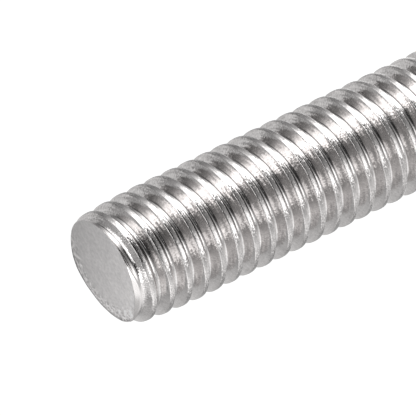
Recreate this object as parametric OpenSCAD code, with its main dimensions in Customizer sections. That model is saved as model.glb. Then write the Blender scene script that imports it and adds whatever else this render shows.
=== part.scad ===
// Threaded rod: one solid bar of metric coarse thread, standing on its lower end face.
// The origin is the centre of the lower end face, and the rod rises along +Z. Millimetres.

/* [Rod] */
// Diameter over the thread crests, a little under the nominal 8 as rolled rod is
major_d = 7.8; // [5:0.1:16]
// Length from one end face to the other
rod_length = 60; // [20:0.5:80]

/* [Thread] */
// Distance from one crest to the next along the rod
pitch = 1.25; // [0.8:0.05:2]
// Angle between the two flanks of the groove
flank_angle = 60; // [55:1:65]

/* [Ends] */
// Radial depth of the 45 degree chamfer, in from the crests
chamfer = 0.6; // [0.2:0.05:1]
// How much lower the crests are at an end face, where the rolled thread is not yet full
crest_drop = 0.35; // [0:0.05:0.4]
// Length over which the crests rise to their full height
run_in = 5; // [1:0.25:8]

/* [Hidden] */

// Straight steps in one turn of the helix
turn_steps = 28;
// Smoothness of the turned end chamfers
$fn = 96;

// Metric profile: a sharp V cut short at the crest, which rolling has not quite filled, and at the root
crest_share = 0.2175;
root_share = 1 / 6;
sharp_depth = pitch / 2 / tan(flank_angle / 2);
thread_depth = sharp_depth * (1 - crest_share - root_share);
major_r = major_d / 2;
minor_r = major_r - thread_depth;

// One pitch of the profile, from the root below a crest to the root above it
half_crest = pitch * crest_share / 2;
half_ridge = pitch * (1 - root_share) / 2;
ridge = [[false, -half_ridge], [true, -half_crest], [true, half_crest], [false, half_ridge]];
ridge_points = len(ridge);

// The helix starts and stops this many pitches outside the rod, where the blank trims it
overrun = 1.5;
helix_steps = ceil((rod_length / pitch + 2 * overrun) * turn_steps);
helix_start = -overrun * pitch;

// Radius of the crest at height z, lowered near both ends
function shortfall(z) = max(0, 1 - max(0, min(z, rod_length - z)) / run_in);
function crest_r(z) = major_r - crest_drop * pow(shortfall(z), 2);

// Point q of the ridge at step m of the helix
function helix_point(m, q) =
    let (angle = 360 * m / turn_steps)
    let (z = helix_start + pitch * m / turn_steps + ridge[q][1])
    let (r = ridge[q][0] ? crest_r(z) : minor_r)
    [r * cos(angle), r * sin(angle), z];

// Index of that point, where the point after the ridge's last is the first one turn further on
function helix_index(m, q) =
    q < ridge_points ? m * ridge_points + q : (m + turn_steps) * ridge_points;

// Two triangles between steps m and m + 1, above point q
function helix_facets(m, q) = [
    [helix_index(m, q), helix_index(m, q + 1), helix_index(m + 1, q + 1)],
    [helix_index(m, q), helix_index(m + 1, q + 1), helix_index(m + 1, q)]
];

// Right-hand helical thread on a solid core, closed by a cone and a step at each end
module thread_stock() {
    last = ridge_points - 1;
    top_turn = helix_steps - turn_steps;
    low_tip = (helix_steps + 1) * ridge_points;
    high_tip = low_tip + 1;
    points = [
        for (m = [0 : helix_steps], q = [0 : last]) helix_point(m, q),
        [0, 0, helix_start - pitch],
        [0, 0, helix_start + pitch * (helix_steps / turn_steps + 1)]
    ];
    ridge_faces = [
        for (m = [0 : helix_steps - 1], q = [0 : last])
            if (q < last || m < top_turn) each helix_facets(m, q)
    ];
    low_faces = [
        for (m = [0 : turn_steps - 1]) [low_tip, helix_index(m, 0), helix_index(m + 1, 0)],
        [for (q = [ridge_points : -1 : 0]) helix_index(0, q), low_tip]
    ];
    high_faces = [
        for (m = [top_turn : helix_steps - 1])
            [high_tip, helix_index(m + 1, last), helix_index(m, last)],
        [for (q = [0 : last]) helix_index(helix_steps, q), high_tip, helix_index(top_turn, last)]
    ];
    polyhedron(points, concat(ridge_faces, low_faces, high_faces), convexity = 4);
}

// Bar with a chamfer at each end, a little wider than the crests between the chamfers
module blank() {
    face_r = major_r - chamfer;
    clear_r = major_r + chamfer;
    taper = clear_r - face_r;
    rotate_extrude()
        polygon([
            [0, 0],
            [face_r, 0],
            [clear_r, taper],
            [clear_r, rod_length - taper],
            [face_r, rod_length],
            [0, rod_length]
        ]);
}

module threaded_rod() {
    color("silver")
        intersection() {
            thread_stock();
            blank();
        }
}

threaded_rod();
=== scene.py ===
import bisect
import math

import bmesh
import bpy
from bpy.props import FloatProperty, FloatVectorProperty, IntProperty, PointerProperty
from bpy.types import Operator, Panel, PropertyGroup
from mathutils import Matrix, Vector, noise


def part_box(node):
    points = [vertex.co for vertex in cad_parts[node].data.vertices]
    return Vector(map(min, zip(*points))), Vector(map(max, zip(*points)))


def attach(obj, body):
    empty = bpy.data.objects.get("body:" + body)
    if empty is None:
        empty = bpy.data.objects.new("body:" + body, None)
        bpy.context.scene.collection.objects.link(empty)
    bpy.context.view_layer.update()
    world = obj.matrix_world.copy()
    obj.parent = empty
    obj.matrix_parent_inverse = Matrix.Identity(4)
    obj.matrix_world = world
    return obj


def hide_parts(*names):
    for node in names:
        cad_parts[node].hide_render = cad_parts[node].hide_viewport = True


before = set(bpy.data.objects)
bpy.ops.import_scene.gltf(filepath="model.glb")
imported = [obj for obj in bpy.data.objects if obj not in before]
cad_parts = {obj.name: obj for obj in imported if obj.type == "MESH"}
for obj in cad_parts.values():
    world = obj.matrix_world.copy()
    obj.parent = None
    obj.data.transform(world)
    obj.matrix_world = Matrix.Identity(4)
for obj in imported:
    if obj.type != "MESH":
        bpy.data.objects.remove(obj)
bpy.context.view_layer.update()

bl_info = {
    "name": "Threaded Rod",
    "version": (1, 0, 0),
    "blender": (4, 5, 0),
    "location": "View3D > Sidebar > Rod",
    "description": "Rolled steel thread over the CAD rod, with its studio",
    "category": "Object",
}

NODE = "threaded_rod"
PIECE = "rolled_thread_rod"
MM = 0.001
ROD_LOW, ROD_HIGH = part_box(NODE)
ROD_LENGTH = ROD_HIGH.z - ROD_LOW.z
ROD_RADIUS = (ROD_HIGH.x - ROD_LOW.x) / 2

# The photograph is this many pixels on each side
PHOTO_PX = 416
SENSOR_MM = 36.0

# The texture runs along the helix and across it, in millimetres, and this far in one turn. On the cut faces
# it is plain x and y
UV_LAYER = "HelixRun"
TURN_RUN = 25.13

# Keys that order the rings of a mesh column. Those of the lower end lie under zero, those of the thread
# count up from about zero, and those of the upper end are added to the first key past the thread. LOW_END
# parts the lower end's keys from the thread's
LOW_CENTRE = -1000
LOW_FACE = -900
LOW_RIM = -800
LOW_BAND = -700
LOW_END = -500
UP_RIM = 200
UP_FACE = 300
UP_CENTRE = 1000

# Rings of an end face, as shares of its radius. One more lies this far inside its edge, in millimetres
FACE_RINGS = (0.16, 0.36, 0.56, 0.72, 0.84, 0.88, 0.92, 0.955, 0.98)
RIM_INSET = 0.012

# Steps in one rounded corner of the thread's profile
ROUND_STEPS = 3

# Unevenness of the crests and of the chamfer: how fine each wave is, and its height in millimetres. The
# waves are read on a cylinder of the radius that follows, and those of the crests are sunk by a share of
# their height, so that the crests stay within the rod's diameter
CREST_WAVES = ((0.45, 0.007), (1.7, 0.003))
EDGE_WAVES = ((0.9, 0.02), (2.7, 0.01), (5, 0.012))
WAVE_RADIUS = 4
WAVE_SINK = 0.6

# How far out past the face's edge the metal pressed into the last groove stands, in millimetres
LIP_STEP = 0.02

# Radius of the upper face's edge in millimetres, by the angle from the rod's upper outline
FACE_EDGE = [
    (-170, 3.30), (-157, 3.31), (-143, 3.24), (-130, 3.19), (-104, 3.17), (-90, 3.22),
    (-75, 3.31), (-59, 3.32), (-42, 3.29), (-25, 3.34), (-8, 3.42), (8, 3.50),
    (38, 3.54), (54, 3.49), (66, 3.47), (76, 3.41), (90, 3.24), (105, 3.06),
    (121, 2.97), (138, 2.94), (153, 2.99), (166, 3.13), (178, 3.27),
]

# The crest, as a mask, ends between these distances from its middle, in pitches
CREST_EDGE = (0.11, 0.15)

# Painted shade: dark lines in the groove's near corner and in its far one, darkest on the shaded side. For
# each: the line's middle and half its width, in pitches, how many degrees the shaded side is turned for it,
# and the cosine of the angle within which it is full. Over the next part of the cosine it fades to the
# share that is left all round
GROOVE_SHADE_LINES = ((0.385, 0.03, 0, 0.92), (-0.44, 0.05, 20, 0.985))
GROOVE_SHADE_FADE = 0.09
GROOVE_SHADE_LEFT = 0.15

# Reach of the cut face's painted light, which runs from dull to bright, to each side of its middle, in
# millimetres. Then where its mottled rim and its dark outline of painted shade begin and where they are
# full
FACE_REACH = 3.3
RIM_REACH = (2.6, 2.85)
EDGE_SHADE_REACH = (3.36, 3.54)

# The light tent round the rod: the angle from the rod's upper outline in the picture, towards the camera,
# then level 0 on the tent's floor, 1 low on its wall, 2 beside the rod's end, 3 over it, and 4 high over it
TENT = [
    (-178, 0.80, 0.85, 1.30, 1.60, 0.90),
    (-166, 0.72, 0.72, 1.05, 1.20, 0.60),
    (-154, 0.62, 0.55, 0.66, 0.55, 0.45),
    (-142, 0.74, 0.40, 0.54, 0.42, 0.45),
    (-130, 0.86, 0.33, 0.55, 0.42, 0.45),
    (-118, 0.95, 0.48, 0.64, 0.42, 0.45),
    (-110, 1.05, 0.58, 0.70, 0.42, 0.45),
    (-80, 1.40, 0.58, 0.74, 0.42, 0.45),
    (-62, 1.40, 0.52, 0.73, 0.42, 0.45),
    (-54, 1.25, 0.43, 0.72, 0.42, 0.45),
    (-46, 1.08, 0.38, 0.67, 0.42, 0.45),
    (-36, 0.86, 0.31, 0.56, 0.42, 0.45),
    (-28, 0.66, 0.26, 0.40, 0.38, 0.45),
    (-20, 0.56, 0.28, 0.20, 0.28, 0.45),
    (-12, 0.50, 0.34, 0.20, 0.28, 0.45),
    (-6, 0.60, 0.44, 0.32, 1.00, 0.45),
    (-1, 0.85, 0.54, 0.46, 2.00, 0.45),
    (4, 1.60, 0.74, 0.60, 2.60, 0.50),
    (10, 2.80, 1.15, 0.80, 2.80, 0.80),
    (16, 3.80, 2.00, 1.20, 2.80, 2.00),
    (22, 4.30, 2.90, 1.80, 3.00, 2.80),
    (34, 4.40, 3.00, 2.30, 3.00, 3.00),
    (44, 4.00, 2.10, 2.30, 3.00, 3.00),
    (49, 2.80, 1.40, 2.20, 3.00, 3.00),
    (54, 1.30, 0.78, 1.20, 3.00, 3.00),
    (59, 0.60, 0.34, 0.24, 2.90, 3.00),
    (66, 0.40, 0.22, 0.03, 2.60, 3.00),
    (72, 0.36, 0.19, 0.02, 2.40, 2.80),
    (82, 0.36, 0.22, 0.02, 1.60, 2.80),
    (90, 0.40, 0.34, 0.02, 0.80, 3.00),
    (96, 0.42, 0.46, 0.03, 0.20, 3.00),
    (101, 0.42, 0.80, 0.10, 0.04, 2.60),
    (105, 0.42, 1.35, 0.20, 0.02, 0.40),
    (110, 0.42, 1.75, 0.36, 0.02, 0.02),
    (118, 0.48, 2.00, 0.60, 0.02, 0.02),
    (128, 0.60, 1.90, 0.62, 0.02, 0.02),
    (135, 0.57, 1.20, 0.64, 0.02, 0.02),
    (140, 0.60, 0.60, 0.70, 0.10, 0.04),
    (145, 0.62, 0.54, 0.78, 0.80, 0.80),
    (150, 0.66, 0.50, 0.92, 1.80, 2.80),
    (156, 0.70, 0.64, 1.10, 2.20, 3.00),
    (164, 0.76, 0.86, 1.25, 1.80, 2.80),
    (172, 0.80, 0.90, 1.30, 1.30, 1.40),
]
# Level 5, the same all round
TENT_TOP = 0.45
# The tent's rings on its floor, as radius and number of the level there, then up its wall, as height and
# number of the level, in millimetres
TENT_FLOOR = ((6, 2), (21, 2), (32, 0), (60, 0), (74, 1))
TENT_WALL = ((0.2, 1), (12, 1), (34, 2), (130, 2), (150, 3), (185, 3), (215, 4), (330, 4), (380, 5))
# How far the tent lies over the floor, and the radius of the hole at its top, in millimetres
TENT_LIFT = 0.2
TENT_HOLE = 1

# Soft lamps for the floor: angle, height and width as shares of their distance, and level
LAMPS = [
    (33, 0.9, 0.7, 1.6),
    (125, 0.9, 0.7, 1.2),
]

# The floor's half width in metres, its colour, and the glow that the camera and the reflections see on it
FLOOR_REACH = 4.0
FLOOR_COLOUR = (0.8, 0.8, 0.8, 1.0)
FLOOR_GLOW = 0.6


class ThreadSettings(PropertyGroup):
    pitch: FloatProperty(name="Pitch", description="Distance from one crest to the next",
                         default=1.25 * MM, unit="LENGTH", precision=5)
    crest: FloatProperty(name="Crest width", description="Width of the land on top of the ridge",
                         default=0.32 * MM, unit="LENGTH", precision=5)
    depth: FloatProperty(name="Thread depth", description="From the crest to the root, along the radius",
                         default=0.68 * MM, unit="LENGTH", precision=5)
    flank: FloatProperty(name="Flank angle", description="Angle between the two sides of the groove",
                         default=math.radians(53), subtype="ANGLE")
    crest_round: FloatProperty(name="Crest rounding", description="Radius along the crest's two edges",
                               default=0.03 * MM, unit="LENGTH", precision=5)
    root_round: FloatProperty(name="Root rounding", description="Radius at the bottom of the groove",
                              default=0.13 * MM, unit="LENGTH", precision=5)
    crown: FloatProperty(name="Crest crown", description="How far the crest's middle stands over its edges",
                         default=0.012 * MM, unit="LENGTH", precision=5)
    crest_drop: FloatProperty(name="Crest drop", description="How much lower the crest is at an end face",
                              default=0.29 * MM, unit="LENGTH", precision=5)
    run_in: FloatProperty(name="Run-in", description="Length over which the crest rises to its full height",
                          default=5 * MM, unit="LENGTH", precision=5)
    columns: IntProperty(name="Columns", description="Steps of the mesh in one turn", default=90)


class EndSettings(PropertyGroup):
    face: FloatProperty(name="Face radius", description="Radius of the flat end inside the chamfer",
                        default=3.34 * MM, unit="LENGTH", precision=5)
    slant: FloatProperty(name="Slant of the cut", description="How far the upper end face is off square",
                         default=math.radians(4.0), subtype="ANGLE")
    slant_side: FloatProperty(name="High side", description="Angle at which the upper end face is highest",
                              default=math.radians(-63.8), subtype="ANGLE")
    lip: FloatProperty(name="Lip slope", description="How steeply the metal in the last groove falls off",
                       default=1.9)
    roll_over: FloatProperty(name="Roll-over", description="How far the cut's edge is drawn down",
                             default=0.07 * MM, unit="LENGTH", precision=5)
    flat: FloatProperty(name="Flat radius", description="Radius of the flat inside the drawn-down edge",
                        default=2.62 * MM, unit="LENGTH", precision=5)
    soft_side: FloatProperty(name="Soft side", description="Angle at which the edge is drawn down most",
                             default=math.radians(-294), subtype="ANGLE")
    band: FloatProperty(name="Ringed band", description="Length at each end that is meshed in flat rings",
                        default=0.45 * MM, unit="LENGTH", precision=5)
    blend: FloatProperty(name="Edge softness", description="Rounding where the chamfer meets the thread",
                         default=0.02 * MM, unit="LENGTH", precision=5)


class SteelSettings(PropertyGroup):
    colour: FloatVectorProperty(name="Steel colour", description="Colour of the bare steel",
                                default=(0.684, 0.664, 0.657), subtype="COLOR", size=3)
    cut_colour: FloatVectorProperty(name="Cut colour", description="Colour of the cut end",
                                    default=(0.668, 0.652, 0.650), subtype="COLOR", size=3)
    # Painted light: the side to which the cut end is painted brighter
    painted_light_side: FloatProperty(name="Bright side", description="Side to which the cut end grows brighter",
                               default=math.radians(-196), subtype="ANGLE")
    # Side on which the painted shade in the groove's corners is darkest
    shaded_side: FloatProperty(name="Dull side", description="Side on which the groove holds most residue",
                             default=math.radians(-110.5), subtype="ANGLE")
    rough: FloatProperty(name="Roughness", description="Roughness of the rolled thread", default=0.13)
    rough_crest: FloatProperty(name="Crest roughness", description="Roughness of the crests", default=0.16)


class StudioSettings(PropertyGroup):
    tent: FloatProperty(name="Tent radius", description="Distance of the tent's wall from the rod's axis",
                        default=120 * MM, unit="LENGTH")
    height: FloatProperty(name="Tent height", description="Height of the tent's wall over the floor",
                          default=500 * MM, unit="LENGTH")
    lamps: FloatProperty(name="Lamp distance", description="Distance of the soft lamps along the floor",
                         default=600 * MM, unit="LENGTH")
    world: FloatProperty(name="World level", description="Strength of the white world", default=0.6)


class CameraSettings(PropertyGroup):
    end_across: FloatProperty(name="End face across", description="Pixels from the left edge to its centre",
                              default=104.45)
    end_down: FloatProperty(name="End face down", description="Pixels from the top edge to its centre",
                            default=272.5)
    px_per_mm: FloatProperty(name="Pixels per millimetre", description="Scale at the end face",
                             default=16.713)
    reach: FloatProperty(name="Distance", description="From the camera to the end face, along the view",
                         default=373.4 * MM, unit="LENGTH")
    tilt: FloatProperty(name="Tilt", description="Angle between the rod's axis and the picture plane",
                        default=math.radians(26.8), subtype="ANGLE")
    turn: FloatProperty(name="Turn", description="Angle of the rod in the picture, up from level",
                        default=math.radians(25.87), subtype="ANGLE")
    roll: FloatProperty(name="Start of the thread", description="Angle that shows at the upper outline",
                        default=math.radians(-45.5), subtype="ANGLE")


def half_profile(settings):
    """Points from crest to root, in millimetres: distance from the crest's middle, height over the root."""
    half_pitch = settings.pitch / MM / 2
    half_crest = settings.crest / MM / 2
    depth = settings.depth / MM
    crest_round = settings.crest_round / MM
    crown = settings.crown / MM
    slope = 1 / math.tan(settings.flank / 2)
    lean = math.atan(slope)
    foot = half_crest + depth / slope
    # How far from its corner each rounding starts
    crest_cut = crest_round * math.tan(lean / 2)
    root_cut = min(settings.root_round / MM * math.tan(lean / 2), half_pitch - foot)
    root_round = root_cut / math.tan(lean / 2)
    flat = max(half_crest - crest_cut, 0.0)
    points = [(0.0, depth), (flat * 0.6, depth)]
    for step in range(ROUND_STEPS + 1):
        a = lean * step / ROUND_STEPS
        points.append((flat + crest_round * math.sin(a), depth - crest_round * (1 - math.cos(a))))
    high_x, high_y = points[-1]
    low_x = foot - root_cut * math.cos(lean)
    low_y = root_cut * math.sin(lean)
    points.append(((high_x + low_x) / 2, (high_y + low_y) / 2))
    for step in range(ROUND_STEPS + 1):
        a = lean * (1 - step / ROUND_STEPS)
        x = foot + root_cut - root_round * math.sin(a)
        points.append((x, root_round - root_round * math.cos(a)))
    # The flat of the root, where there is one
    if half_pitch - points[-1][0] > 0.01:
        points.append((half_pitch, 0.0))
    else:
        points[-1] = (half_pitch, 0.0)
    top = flat + crest_round * math.sin(lean)
    return [(x, y + crown * max(0.0, 1 - (x / top) ** 2)) for x, y in points]


class Thread:
    """The rod's shape: the thread's profile over one pitch, and the radius at any place. In millimetres."""

    def __init__(self, settings, ends, start):
        half = half_profile(settings)
        left = [(-x, y) for x, y in reversed(half)]
        self.rows = left[:-1] + half[:-1]
        self.xs = [x for x, _ in left + half[1:]]
        self.ys = [y for _, y in left + half[1:]]
        self.pitch = settings.pitch / MM
        self.top = max(self.ys)
        self.root = ROD_RADIUS / MM - self.top
        self.drop = settings.crest_drop / MM
        self.run_in = settings.run_in / MM
        self.length = ROD_LENGTH / MM
        self.face = ends.face / MM
        self.slope = math.tan(ends.slant)
        self.lip = ends.lip
        self.high_side = ends.slant_side
        self.roll_over = ends.roll_over / MM
        self.flat = ends.flat / MM
        self.soft_side = ends.soft_side
        self.soft = ends.blend / MM
        self.start = math.degrees(start)
        before = [(angle - 360, r) for angle, r in FACE_EDGE[-2:]]
        after = [(angle + 360, r) for angle, r in FACE_EDGE[:2]]
        self.edge = before + FACE_EDGE + after

    def edge_radius(self, turn):
        """Radius of the upper face's edge at an angle in turns, on a smooth curve through FACE_EDGE."""
        angle = (self.start - 360 * turn + 180) % 360 - 180
        i = bisect.bisect_right(self.edge, (angle, 0.0))
        (x0, y0), (x1, y1), (x2, y2), (x3, y3) = self.edge[i - 2:i + 2]
        share = (angle - x1) / (x2 - x1)
        first = (y2 - y0) / (x2 - x0) * (x2 - x1)
        last = (y3 - y1) / (x3 - x1) * (x2 - x1)
        step = y2 - y1
        square = 3 * step - 2 * first - last
        cube = first + last - 2 * step
        return y1 + share * (first + share * (square + share * cube))

    def face_height(self, turn, r):
        """Height of the slanted upper face at an angle (in turns) and a distance from the axis."""
        a = 2 * math.pi * turn
        return self.length - self.slope * (self.face - r * math.cos(a - self.high_side))

    def cut_height(self, turn, r):
        """Height of the upper face inside its edge, which is drawn down on one side."""
        lean = math.cos(2 * math.pi * turn - self.soft_side)
        inner = min(r, self.flat) / self.flat
        outer = max(0.0, r - self.flat) / (self.edge_radius(turn) - self.flat)
        rise = self.roll_over / 2 * (1 + inner * lean) * max(0.0, 1 - outer * outer)
        return self.face_height(turn, r) + rise

    def height(self, x):
        """Height over the root at a distance from a crest's middle."""
        x = (x / self.pitch + 0.5) % 1.0
        x = (x - 0.5) * self.pitch
        i = min(max(bisect.bisect_right(self.xs, x), 1), len(self.xs) - 1)
        x0, x1 = self.xs[i - 1], self.xs[i]
        share = (x - x0) / max(x1 - x0, 1e-9)
        return self.ys[i - 1] + (self.ys[i] - self.ys[i - 1]) * min(max(share, 0.0), 1.0)

    def radius(self, turn, z, height):
        """Radius where the profile has a height, at an angle (in turns) and a place along the rod."""
        edge = self.edge_radius(turn)
        above = self.face_height(turn, edge) - z
        end = max(0.0, min(z, above))
        short = max(0.0, 1 - end / self.run_in)
        share = height / self.top
        a = 2 * math.pi * turn
        around = Vector((math.cos(a) * WAVE_RADIUS, math.sin(a) * WAVE_RADIUS, z))
        wave = sum((noise.noise(around * fine) - WAVE_SINK) * size for fine, size in CREST_WAVES)
        r = self.root + height - self.drop * short * short * share + wave * share
        ragged = sum(noise.noise(around * fine) * size for fine, size in EDGE_WAVES)
        cone = (edge if above < z else self.face) + end + ragged
        if above < z:
            # Cutting pressed metal into the groove where it meets the face
            r = max(r, edge + LIP_STEP - self.lip * end)
        gap = r - cone
        if abs(gap) >= self.soft:
            return min(r, cone)
        return min(r, cone) - (self.soft - abs(gap)) ** 2 / (4 * self.soft)


def ring_depths(band):
    """Depths below an end face at which the ringed band has its rings, in millimetres."""
    return [0.004, 0.012, 0.03, 0.06, 0.1, 0.14, 0.18, 0.22, 0.26, 0.3, 0.34, 0.38, band - 0.03]


def build_columns(shape, columns, band):
    """Vertices, the turn that each is at, and for each column a list of (key, vertex) from the lower centre
    to the upper one. Last come the number of keys in one pitch and the first key past the thread."""
    pitch, length = shape.pitch, shape.length
    per_pitch = len(shape.rows)
    pitches = int(math.ceil(length / pitch)) + 2
    upper = per_pitch * (pitches + 5)
    depths = ring_depths(band)
    verts = [(0.0, 0.0, 0.0), (0.0, 0.0, shape.cut_height(0.0, 0.0))]
    turn_of = [0.0, 0.0]
    lists = []
    for j in range(columns):
        turn = j / columns
        c, s = math.cos(2 * math.pi * turn), math.sin(2 * math.pi * turn)
        edge = shape.face_height(turn, shape.edge_radius(turn))
        column = [(LOW_CENTRE, 0)]

        def add(key, r, z):
            column.append((key, len(verts)))
            verts.append((r * c, r * s, z))
            turn_of.append(turn)

        def ring(z):
            return shape.radius(turn, z, shape.height(z - pitch * turn - pitch / 2))

        rim = ring(0.0)
        for k, share in enumerate(FACE_RINGS):
            add(LOW_FACE + k, rim * share, 0.0)
        add(LOW_RIM, rim - RIM_INSET, 0.0)
        for k, depth in enumerate(depths):
            add(LOW_BAND + k, ring(depth), depth)
        for number in range(-1, pitches):
            for k, (x, y) in enumerate(shape.rows):
                z = pitch / 2 + pitch * (turn + number) + x
                if band < z < edge - band:
                    add(per_pitch * number + k, shape.radius(turn, z, y), z)
        for k, depth in enumerate(reversed(depths)):
            add(upper + k, ring(edge - depth), edge - depth)
        rim = ring(edge)
        add(upper + UP_RIM, rim - RIM_INSET, shape.cut_height(turn, rim - RIM_INSET))
        for k, share in enumerate(reversed(FACE_RINGS)):
            add(upper + UP_FACE + k, rim * share, shape.cut_height(turn, rim * share))
        column.append((upper + UP_CENTRE, 1))
        lists.append(column)
    return verts, turn_of, lists, per_pitch, upper


def stitch(left, right):
    """Faces between two neighbouring columns; both lists hold (key, vertex) in rising order."""
    faces = []
    i = j = 0
    while i < len(left) - 1 or j < len(right) - 1:
        more_left, more_right = i < len(left) - 1, j < len(right) - 1
        if more_left and more_right and left[i + 1][0] == right[j + 1][0]:
            corners = [left[i][1], right[j][1], right[j + 1][1], left[i + 1][1]]
            keys = (left[i][0], left[i + 1][0])
            i, j = i + 1, j + 1
        elif not more_right or (more_left and left[i + 1][0] < right[j + 1][0]):
            corners = [left[i][1], right[j][1], left[i + 1][1]]
            keys = (left[i][0], left[i + 1][0])
            i += 1
        else:
            corners = [left[i][1], right[j][1], right[j + 1][1]]
            keys = (right[j][0], right[j + 1][0])
            j += 1
        faces.append((list(dict.fromkeys(corners)), keys))
    return faces


def make_rod_mesh(thread, ends, start):
    """The rod's mesh, with a texture that runs along the helix. Material 0 is the thread's, 1 the cuts' and
    2 the chamfers'."""
    shape = Thread(thread, ends, start)
    verts, turn_of, lists, per_pitch, upper = build_columns(shape, thread.columns, ends.band / MM)
    faces, kinds, uvs = [], [], []
    for j, left in enumerate(lists):
        closing = j == len(lists) - 1
        right = lists[0] if closing else lists[j + 1]
        if closing:
            # Seen from the last column, the first one's thread is a pitch further on
            right = [(key - per_pitch if 0 <= key < upper else key, v) for key, v in right]
        for corners, keys in stitch(left, right):
            faces.append(corners)
            flat = keys[0] >= upper + UP_RIM or keys[1] <= LOW_RIM
            cone = keys[0] >= upper or keys[1] < LOW_END
            kinds.append(1 if flat else 2 if cone else 0)
            for v in corners:
                x, y, z = verts[v]
                if flat:
                    uvs.append((x, y))
                    continue
                turn = turn_of[v]
                if closing and turn == 0.0:
                    turn = 1.0
                uvs.append((turn * TURN_RUN, z - shape.pitch * turn))
    mesh = bpy.data.meshes.new(PIECE)
    mesh.from_pydata([(x * MM, y * MM, z * MM) for x, y, z in verts], [], faces)
    layer = mesh.uv_layers.new(name=UV_LAYER)
    layer.data.foreach_set("uv", [c for uv in uvs for c in uv])
    mesh.polygons.foreach_set("material_index", kinds)
    mesh.polygons.foreach_set("use_smooth", [True] * len(faces))
    mesh.validate()
    mesh.update()
    return mesh


def new_material(name):
    material = bpy.data.materials.new(name)
    material.use_nodes = True
    material.node_tree.nodes.clear()
    return material, material.node_tree


def link(tree, source, target):
    tree.links.new(source, target)


def show(tree, shader, output="ShaderNodeOutputMaterial"):
    """Makes a shader the surface that a tree gives out."""
    link(tree, shader, tree.nodes.new(output).inputs["Surface"])


def new_metal(name):
    """A material of bare metal, its node tree and its shader."""
    material, tree = new_material(name)
    shader = tree.nodes.new("ShaderNodeBsdfPrincipled")
    shader.inputs["Metallic"].default_value = 1.0
    show(tree, shader.outputs["BSDF"])
    return material, tree, shader


def helix_uv(tree):
    uv = tree.nodes.new("ShaderNodeUVMap")
    uv.uv_map = UV_LAYER
    return uv.outputs["UV"]


def mapped_uv(tree, along, across):
    """The texture's places, with finer steps along the thread and across it by the two factors."""
    mapping = tree.nodes.new("ShaderNodeMapping")
    mapping.inputs["Scale"].default_value = (along, across, 1.0)
    link(tree, helix_uv(tree), mapping.inputs["Vector"])
    return mapping.outputs["Vector"]


def noise_at(tree, vector, scale, detail, rough=0.5):
    node = tree.nodes.new("ShaderNodeTexNoise")
    node.inputs["Scale"].default_value = scale
    node.inputs["Detail"].default_value = detail
    node.inputs["Roughness"].default_value = rough
    link(tree, vector, node.inputs["Vector"])
    return node.outputs["Fac"]


def remap(tree, value, low, high, to_low, to_high):
    node = tree.nodes.new("ShaderNodeMapRange")
    node.inputs["From Min"].default_value = low
    node.inputs["From Max"].default_value = high
    node.inputs["To Min"].default_value = to_low
    node.inputs["To Max"].default_value = to_high
    link(tree, value, node.inputs["Value"])
    return node.outputs["Result"]


def spread(tree, value, low, high):
    """Stretches a noise value, most of which lies between 0.3 and 0.7, over a range."""
    return remap(tree, value, 0.3, 0.7, low, high)


def math_node(tree, operation, first, second=0.0):
    node = tree.nodes.new("ShaderNodeMath")
    node.operation = operation
    for socket, value in zip(node.inputs, (first, second)):
        if isinstance(value, (int, float)):
            socket.default_value = value
        else:
            link(tree, value, socket)
    return node.outputs["Value"]


def product(tree, first, *others):
    for other in others:
        first = math_node(tree, "MULTIPLY", first, other)
    return first


def vector_math(tree, operation, first, second=(0.0, 0.0, 0.0)):
    node = tree.nodes.new("ShaderNodeVectorMath")
    node.operation = operation
    node.inputs[1].default_value = second
    link(tree, first, node.inputs[0])
    return node


def bump(tree, height, distance):
    node = tree.nodes.new("ShaderNodeBump")
    node.inputs["Strength"].default_value = 1.0
    node.inputs["Distance"].default_value = distance
    link(tree, height, node.inputs["Height"])
    return node.outputs["Normal"]


def shade_of(tree, colour, value):
    """The colour made lighter or darker by a value round one."""
    node = tree.nodes.new("ShaderNodeVectorMath")
    node.operation = "SCALE"
    node.inputs[0].default_value = colour
    link(tree, value, node.inputs["Scale"])
    return node.outputs["Vector"]


def tilted_normal(tree, along, across):
    """A surface normal that leans along the thread and across it by the two given slopes."""
    lean = tree.nodes.new("ShaderNodeCombineXYZ")
    link(tree, math_node(tree, "ADD", along, 0.5), lean.inputs["X"])
    link(tree, math_node(tree, "ADD", across, 0.5), lean.inputs["Y"])
    lean.inputs["Z"].default_value = 1.0
    node = tree.nodes.new("ShaderNodeNormalMap")
    node.uv_map = UV_LAYER
    link(tree, lean.outputs["Vector"], node.inputs["Color"])
    return node.outputs["Normal"]


def slope_from(tree, value, amount):
    """Turns a noise value round one half into a slope round zero."""
    return product(tree, math_node(tree, "SUBTRACT", value, 0.5), amount)


def thread_masks(tree, pitch, ragged, shaded_side):
    """Three masks: the crest, and the painted shade lines in the groove's near corner and in its far one.
    """
    split = tree.nodes.new("ShaderNodeSeparateXYZ")
    link(tree, helix_uv(tree), split.inputs["Vector"])
    turn = product(tree, split.outputs["X"], 2 * math.pi / TURN_RUN)
    place = math_node(tree, "FRACT", math_node(tree, "DIVIDE", split.outputs["Y"], pitch))
    off = math_node(tree, "SUBTRACT", place, 0.5)
    masks = [remap(tree, math_node(tree, "ABSOLUTE", off), *CREST_EDGE, 1.0, 0.0)]
    off = math_node(tree, "ADD", off, slope_from(tree, ragged, 0.03))
    # Painted shade: each line is darkest towards the shaded side and fades to a faint share all round
    for middle, width, turned, full in GROOVE_SHADE_LINES:
        away = math_node(tree, "ABSOLUTE", math_node(tree, "SUBTRACT", off, middle))
        from_shaded_side = math_node(tree, "SUBTRACT", turn, shaded_side - math.radians(turned))
        towards = math_node(tree, "COSINE", from_shaded_side)
        side = remap(tree, towards, full - GROOVE_SHADE_FADE, full, GROOVE_SHADE_LEFT, 1.0)
        masks.append(product(tree, side, remap(tree, away, width / 3, width, 1.0, 0.0)))
    return masks


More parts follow.
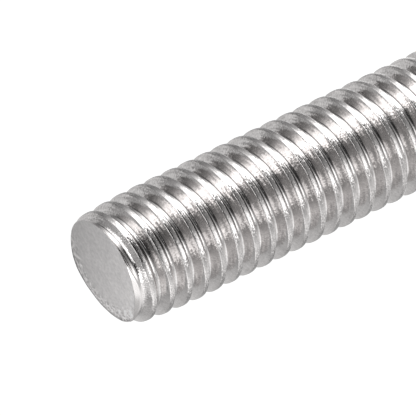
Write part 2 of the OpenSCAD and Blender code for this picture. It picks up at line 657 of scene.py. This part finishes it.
def rolled_steel(settings, pitch):
    """Bright rolled steel: streaks along the thread, fine grain, rubbed crests, small dull spots, clouds
    and painted shade in the groove's corners."""
    material, tree, shader = new_metal("rolled_steel")
    even = mapped_uv(tree, 1.0, 1.0)
    streak = noise_at(tree, mapped_uv(tree, 0.6, 11.0), 1.4, 2.0)
    grain = noise_at(tree, even, 12.0, 2.0)
    second_grain = noise_at(tree, mapped_uv(tree, 1.3, 1.3), 10.0, 2.0)
    rub = noise_at(tree, mapped_uv(tree, 2.0, 5.0), 2.8, 2.0)
    spot = noise_at(tree, even, 4.0, 4.0, 0.7)
    cloud = noise_at(tree, even, 0.7, 2.0)
    crest, near_shade_line, far_shade_line = thread_masks(tree, pitch / MM, streak, settings.shaded_side)
    dull = remap(tree, spot, 0.5, 0.8, 0.0, 0.12)
    rough = math_node(tree, "ADD", spread(tree, streak, -0.03, 0.03), dull)
    base = remap(tree, crest, 0.0, 1.0, settings.rough, settings.rough_crest)
    link(tree, math_node(tree, "ADD", rough, base), shader.inputs["Roughness"])
    tone = product(
        tree,
        spread(tree, cloud, 0.92, 1.08),
        remap(tree, spot, 0.45, 0.8, 1.0, 0.8),
        spread(tree, streak, 0.88, 1.12),
        spread(tree, grain, 0.83, 1.17),
        math_node(tree, "ADD", product(tree, crest, slope_from(tree, rub, 1.3)), 1.0),
        # Painted shade in the groove's near and far corners
        remap(tree, near_shade_line, 0.0, 1.0, 1.0, 0.3),
        remap(tree, far_shade_line, 0.0, 1.0, 1.0, 0.35),
    )
    link(tree, shade_of(tree, settings.colour, tone), shader.inputs["Base Color"])
    lean = math_node(tree, "ADD", slope_from(tree, streak, 0.14), slope_from(tree, grain, 0.16))
    lean = math_node(tree, "ADD", lean, product(tree, crest, slope_from(tree, rub, 0.24)))
    link(tree, tilted_normal(tree, lean, slope_from(tree, second_grain, 0.12)), shader.inputs["Normal"])
    return material


def cut_steel(settings, ends):
    """A cut end: duller, cloudy, with painted light that makes it brighter to one side, a mottled rim where
    its edge is drawn down, and painted shade along that edge.
    """
    material, tree, shader = new_metal("cut_steel")
    even = mapped_uv(tree, 1.0, 1.0)
    cloud = noise_at(tree, even, 0.9, 3.0)
    speck = noise_at(tree, even, 4.0, 3.0, 0.6)
    fleck = noise_at(tree, even, 3.6, 2.0, 0.6)
    grain = noise_at(tree, even, 12.0, 3.0)
    painted_light_side = (math.cos(settings.painted_light_side), math.sin(settings.painted_light_side), 0.0)
    toward_painted_light = vector_math(tree, "DOT_PRODUCT", even, painted_light_side).outputs["Value"]
    soft_side = (math.cos(ends.soft_side), math.sin(ends.soft_side), 0.0)
    softer = vector_math(tree, "DOT_PRODUCT", even, soft_side).outputs["Value"]
    side = remap(tree, softer, -0.4, 1.0, 0.0, 1.0)
    # The rim is measured from half a millimetre beside the axis, so that it is widest on its soft side
    aside = vector_math(tree, "ADD", even, [part / 2 for part in soft_side]).outputs["Vector"]
    reach = vector_math(tree, "LENGTH", aside).outputs["Value"]
    reach = math_node(tree, "ADD", reach, slope_from(tree, speck, 0.5))
    rim = product(tree, side, remap(tree, reach, *RIM_REACH, 0.0, 1.0))
    mottle = product(tree, rim, remap(tree, fleck, 0.35, 0.65, -0.34, 0.38))
    # Painted shade: a dark line along the face's edge on its soft side
    outline = product(tree, side, remap(tree, reach, *EDGE_SHADE_REACH, 0.0, 1.0))
    tone = product(
        tree,
        spread(tree, cloud, 0.92, 1.08),
        spread(tree, speck, 0.88, 1.12),
        # Painted light: the face is brighter towards one side
        remap(tree, toward_painted_light, -FACE_REACH, FACE_REACH, 0.76, 1.34),
        math_node(tree, "ADD", mottle, 1.0),
        # Painted shade along the face's edge
        remap(tree, outline, 0.0, 1.0, 1.0, 0.5),
    )
    link(tree, shade_of(tree, settings.cut_colour, tone), shader.inputs["Base Color"])
    link(tree, spread(tree, cloud, 0.36, 0.46), shader.inputs["Roughness"])
    link(tree, bump(tree, grain, 0.003 * MM), shader.inputs["Normal"])
    return material


def turned_steel(settings):
    """The chamfer: turned, with fine marks that run round the rod."""
    material, tree, shader = new_metal("turned_steel")
    streak = noise_at(tree, mapped_uv(tree, 0.4, 14.0), 1.5, 3.0)
    link(tree, spread(tree, streak, 0.15, 0.25), shader.inputs["Roughness"])
    tone = spread(tree, streak, 0.92, 1.05)
    link(tree, shade_of(tree, settings.colour, tone), shader.inputs["Base Color"])
    link(tree, bump(tree, streak, 0.004 * MM), shader.inputs["Normal"])
    return material


def add_object(scene, name, data):
    obj = bpy.data.objects.new(name, data)
    scene.collection.objects.link(obj)
    return obj


class ROD_OT_thread(Operator):
    """Builds the rod with its rolled thread, chamfers and cut ends"""
    bl_idname = "rod.thread"
    bl_label = "Threaded rod"

    def execute(self, context):
        scene = context.scene
        mesh = make_rod_mesh(scene.rod_thread, scene.rod_ends, scene.rod_camera.roll)
        steel = scene.rod_steel
        mesh.materials.append(rolled_steel(steel, scene.rod_thread.pitch))
        mesh.materials.append(cut_steel(steel, scene.rod_ends))
        mesh.materials.append(turned_steel(steel))
        rod = add_object(scene, PIECE, mesh)
        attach(rod, "root")
        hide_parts(NODE)
        return {"FINISHED"}


def outline_angle(scene, phi):
    """World angle of a place that is phi degrees round from the rod's upper outline in the picture."""
    return scene.rod_camera.roll - math.radians(phi)


def seen_directly(tree):
    """One for the camera and for reflections, and zero for light that falls on other things."""
    path = tree.nodes.new("ShaderNodeLightPath")
    seen = math_node(tree, "MAXIMUM", path.outputs["Is Camera Ray"], path.outputs["Is Glossy Ray"])
    return math_node(tree, "MAXIMUM", seen, path.outputs["Is Transmission Ray"])


class ROD_OT_stage(Operator):
    """Builds the pale floor and the light tent round the rod"""
    bl_idname = "rod.stage"
    bl_label = "Stage"

    def execute(self, context):
        self.floor(context.scene)
        self.tent(context.scene)
        return {"FINISHED"}

    def floor(self, scene):
        """A wide pale floor, which the camera sees as white."""
        mesh = bpy.data.meshes.new("floor")
        form = bmesh.new()
        bmesh.ops.create_grid(form, x_segments=1, y_segments=1, size=FLOOR_REACH)
        form.to_mesh(mesh)
        form.free()
        floor = add_object(scene, "floor", mesh)
        floor.location.z = ROD_LOW.z
        material, tree = new_material("pale_floor")
        diffuse = tree.nodes.new("ShaderNodeBsdfDiffuse")
        diffuse.inputs["Color"].default_value = FLOOR_COLOUR
        glow = tree.nodes.new("ShaderNodeEmission")
        link(tree, product(tree, seen_directly(tree), FLOOR_GLOW), glow.inputs["Strength"])
        both = tree.nodes.new("ShaderNodeAddShader")
        link(tree, diffuse.outputs["BSDF"], both.inputs[0])
        link(tree, glow.outputs["Emission"], both.inputs[1])
        show(tree, both.outputs["Shader"])
        mesh.materials.append(material)

    def tent(self, scene):
        """A bowl of light round the rod, which shows in reflections alone."""
        studio = scene.rod_studio
        wide = studio.tent
        rows = [(r * MM, TENT_LIFT * MM, zone) for r, zone in TENT_FLOOR]
        rows += [(wide, z * MM, zone) for z, zone in TENT_WALL]
        top = TENT_WALL[-1][1]
        rows += [(wide, studio.height, top), (TENT_HOLE * MM, studio.height + wide, top)]
        verts, levels, faces = [], [], []
        for angle, *zones in TENT:
            a = outline_angle(scene, angle)
            for r, z, zone in rows:
                verts.append((r * math.cos(a), r * math.sin(a), z))
                levels.append((*zones, TENT_TOP)[zone])
        for i in range(len(TENT)):
            here = i * len(rows)
            after = (i + 1) % len(TENT) * len(rows)
            for k in range(len(rows) - 1):
                faces.append((here + k, here + k + 1, after + k + 1, after + k))
        mesh = bpy.data.meshes.new("light_tent")
        mesh.from_pydata(verts, [], faces)
        mesh.attributes.new("level", "FLOAT", "POINT").data.foreach_set("value", levels)
        material, tree = new_material("light_tent")
        glow = tree.nodes.new("ShaderNodeEmission")
        level = tree.nodes.new("ShaderNodeAttribute")
        level.attribute_name = "level"
        link(tree, level.outputs["Fac"], glow.inputs["Strength"])
        show(tree, glow.outputs["Emission"])
        mesh.materials.append(material)
        tent = add_object(scene, "light_tent", mesh)
        tent.visible_camera = False
        tent.visible_shadow = False
        tent.visible_diffuse = False


class ROD_OT_lamps(Operator):
    """Sets the soft lamps and the white world"""
    bl_idname = "rod.lamps"
    bl_label = "Lamps"

    def execute(self, context):
        scene = context.scene
        studio = scene.rod_studio
        for number, (angle, rise, share, level) in enumerate(LAMPS):
            a = outline_angle(scene, angle)
            width = studio.lamps * share
            data = bpy.data.lights.new(f"soft_lamp_{number}", "AREA")
            data.shape = "SQUARE"
            data.size = width
            data.energy = level * math.pi * width * width
            lamp = add_object(scene, f"soft_lamp_{number}", data)
            lamp.location = Vector((math.cos(a), math.sin(a), rise)) * studio.lamps
            lamp.rotation_mode = "QUATERNION"
            lamp.rotation_quaternion = (-lamp.location).to_track_quat("-Z", "Y")
            lamp.visible_camera = False
            lamp.visible_glossy = False
        world = bpy.data.worlds.new("white_studio")
        scene.world = world
        world.use_nodes = True
        tree = world.node_tree
        tree.nodes.clear()
        glow = tree.nodes.new("ShaderNodeBackground")
        level = math_node(tree, "MAXIMUM", seen_directly(tree), studio.world)
        link(tree, level, glow.inputs["Strength"])
        show(tree, glow.outputs["Background"], "ShaderNodeOutputWorld")
        scene.view_settings.view_transform = "Standard"
        return {"FINISHED"}


class ROD_OT_camera(Operator):
    """Sets the camera at the photograph's angle"""
    bl_idname = "rod.camera"
    bl_label = "Camera"

    def execute(self, context):
        scene = context.scene
        shot, ends = scene.rod_camera, scene.rod_ends
        tilt, turn, roll = shot.tilt, shot.turn, shot.roll
        # The rod's way into the picture and two directions square to it, as the camera sees them
        axis = Vector((math.cos(tilt) * math.cos(turn), math.cos(tilt) * math.sin(turn), -math.sin(tilt)))
        first = Vector((-math.sin(turn), math.cos(turn), 0.0))
        second = axis.cross(first)
        # The same three directions in the world
        down = Vector((0.0, 0.0, -1.0))
        side = Vector((math.cos(roll), math.sin(roll), 0.0))
        other = Vector((math.sin(roll), -math.cos(roll), 0.0))
        right, up, back = (axis[k] * down + first[k] * side + second[k] * other for k in range(3))
        across = (shot.end_across - PHOTO_PX / 2) / shot.px_per_mm * MM
        above = -(shot.end_down - PHOTO_PX / 2) / shot.px_per_mm * MM
        data = bpy.data.cameras.new("camera")
        data.sensor_width = SENSOR_MM
        data.lens = SENSOR_MM * shot.px_per_mm * (shot.reach / MM) / PHOTO_PX
        data.clip_start = 0.05
        data.clip_end = 20.0
        camera = add_object(scene, "camera", data)
        aim = Vector((0.0, 0.0, ROD_HIGH.z - ends.face * math.tan(ends.slant)))
        matrix = Matrix((right, up, back)).transposed().to_4x4()
        matrix.translation = aim - (across * right + above * up - shot.reach * back)
        camera.matrix_world = matrix
        scene.camera = camera
        return {"FINISHED"}


class ROD_PT_panel(Panel):
    """Lists the steps that build the rod and its studio"""
    bl_idname = "ROD_PT_panel"
    bl_label = "Threaded Rod"
    bl_space_type = "VIEW_3D"
    bl_region_type = "UI"
    bl_category = "Rod"

    def draw(self, context):
        layout = self.layout
        for step in STEPS:
            layout.operator(step.bl_idname)
        for group in GROUPS:
            box = layout.box()
            settings = getattr(context.scene, group)
            for name in settings.__annotations__:
                box.prop(settings, name)


STEPS = (ROD_OT_thread, ROD_OT_stage, ROD_OT_lamps, ROD_OT_camera)
GROUPS = {
    "rod_thread": ThreadSettings,
    "rod_ends": EndSettings,
    "rod_steel": SteelSettings,
    "rod_studio": StudioSettings,
    "rod_camera": CameraSettings,
}


def register():
    for kind in (*GROUPS.values(), *STEPS, ROD_PT_panel):
        bpy.utils.register_class(kind)
    for name, kind in GROUPS.items():
        setattr(bpy.types.Scene, name, PointerProperty(type=kind))


def unregister():
    for name in GROUPS:
        delattr(bpy.types.Scene, name)
    for kind in reversed((*GROUPS.values(), *STEPS, ROD_PT_panel)):
        bpy.utils.unregister_class(kind)


def main():
    register()
    bpy.ops.rod.thread()
    bpy.ops.rod.stage()
    bpy.ops.rod.lamps()
    bpy.ops.rod.camera()


if __name__ == "__main__":
    main()
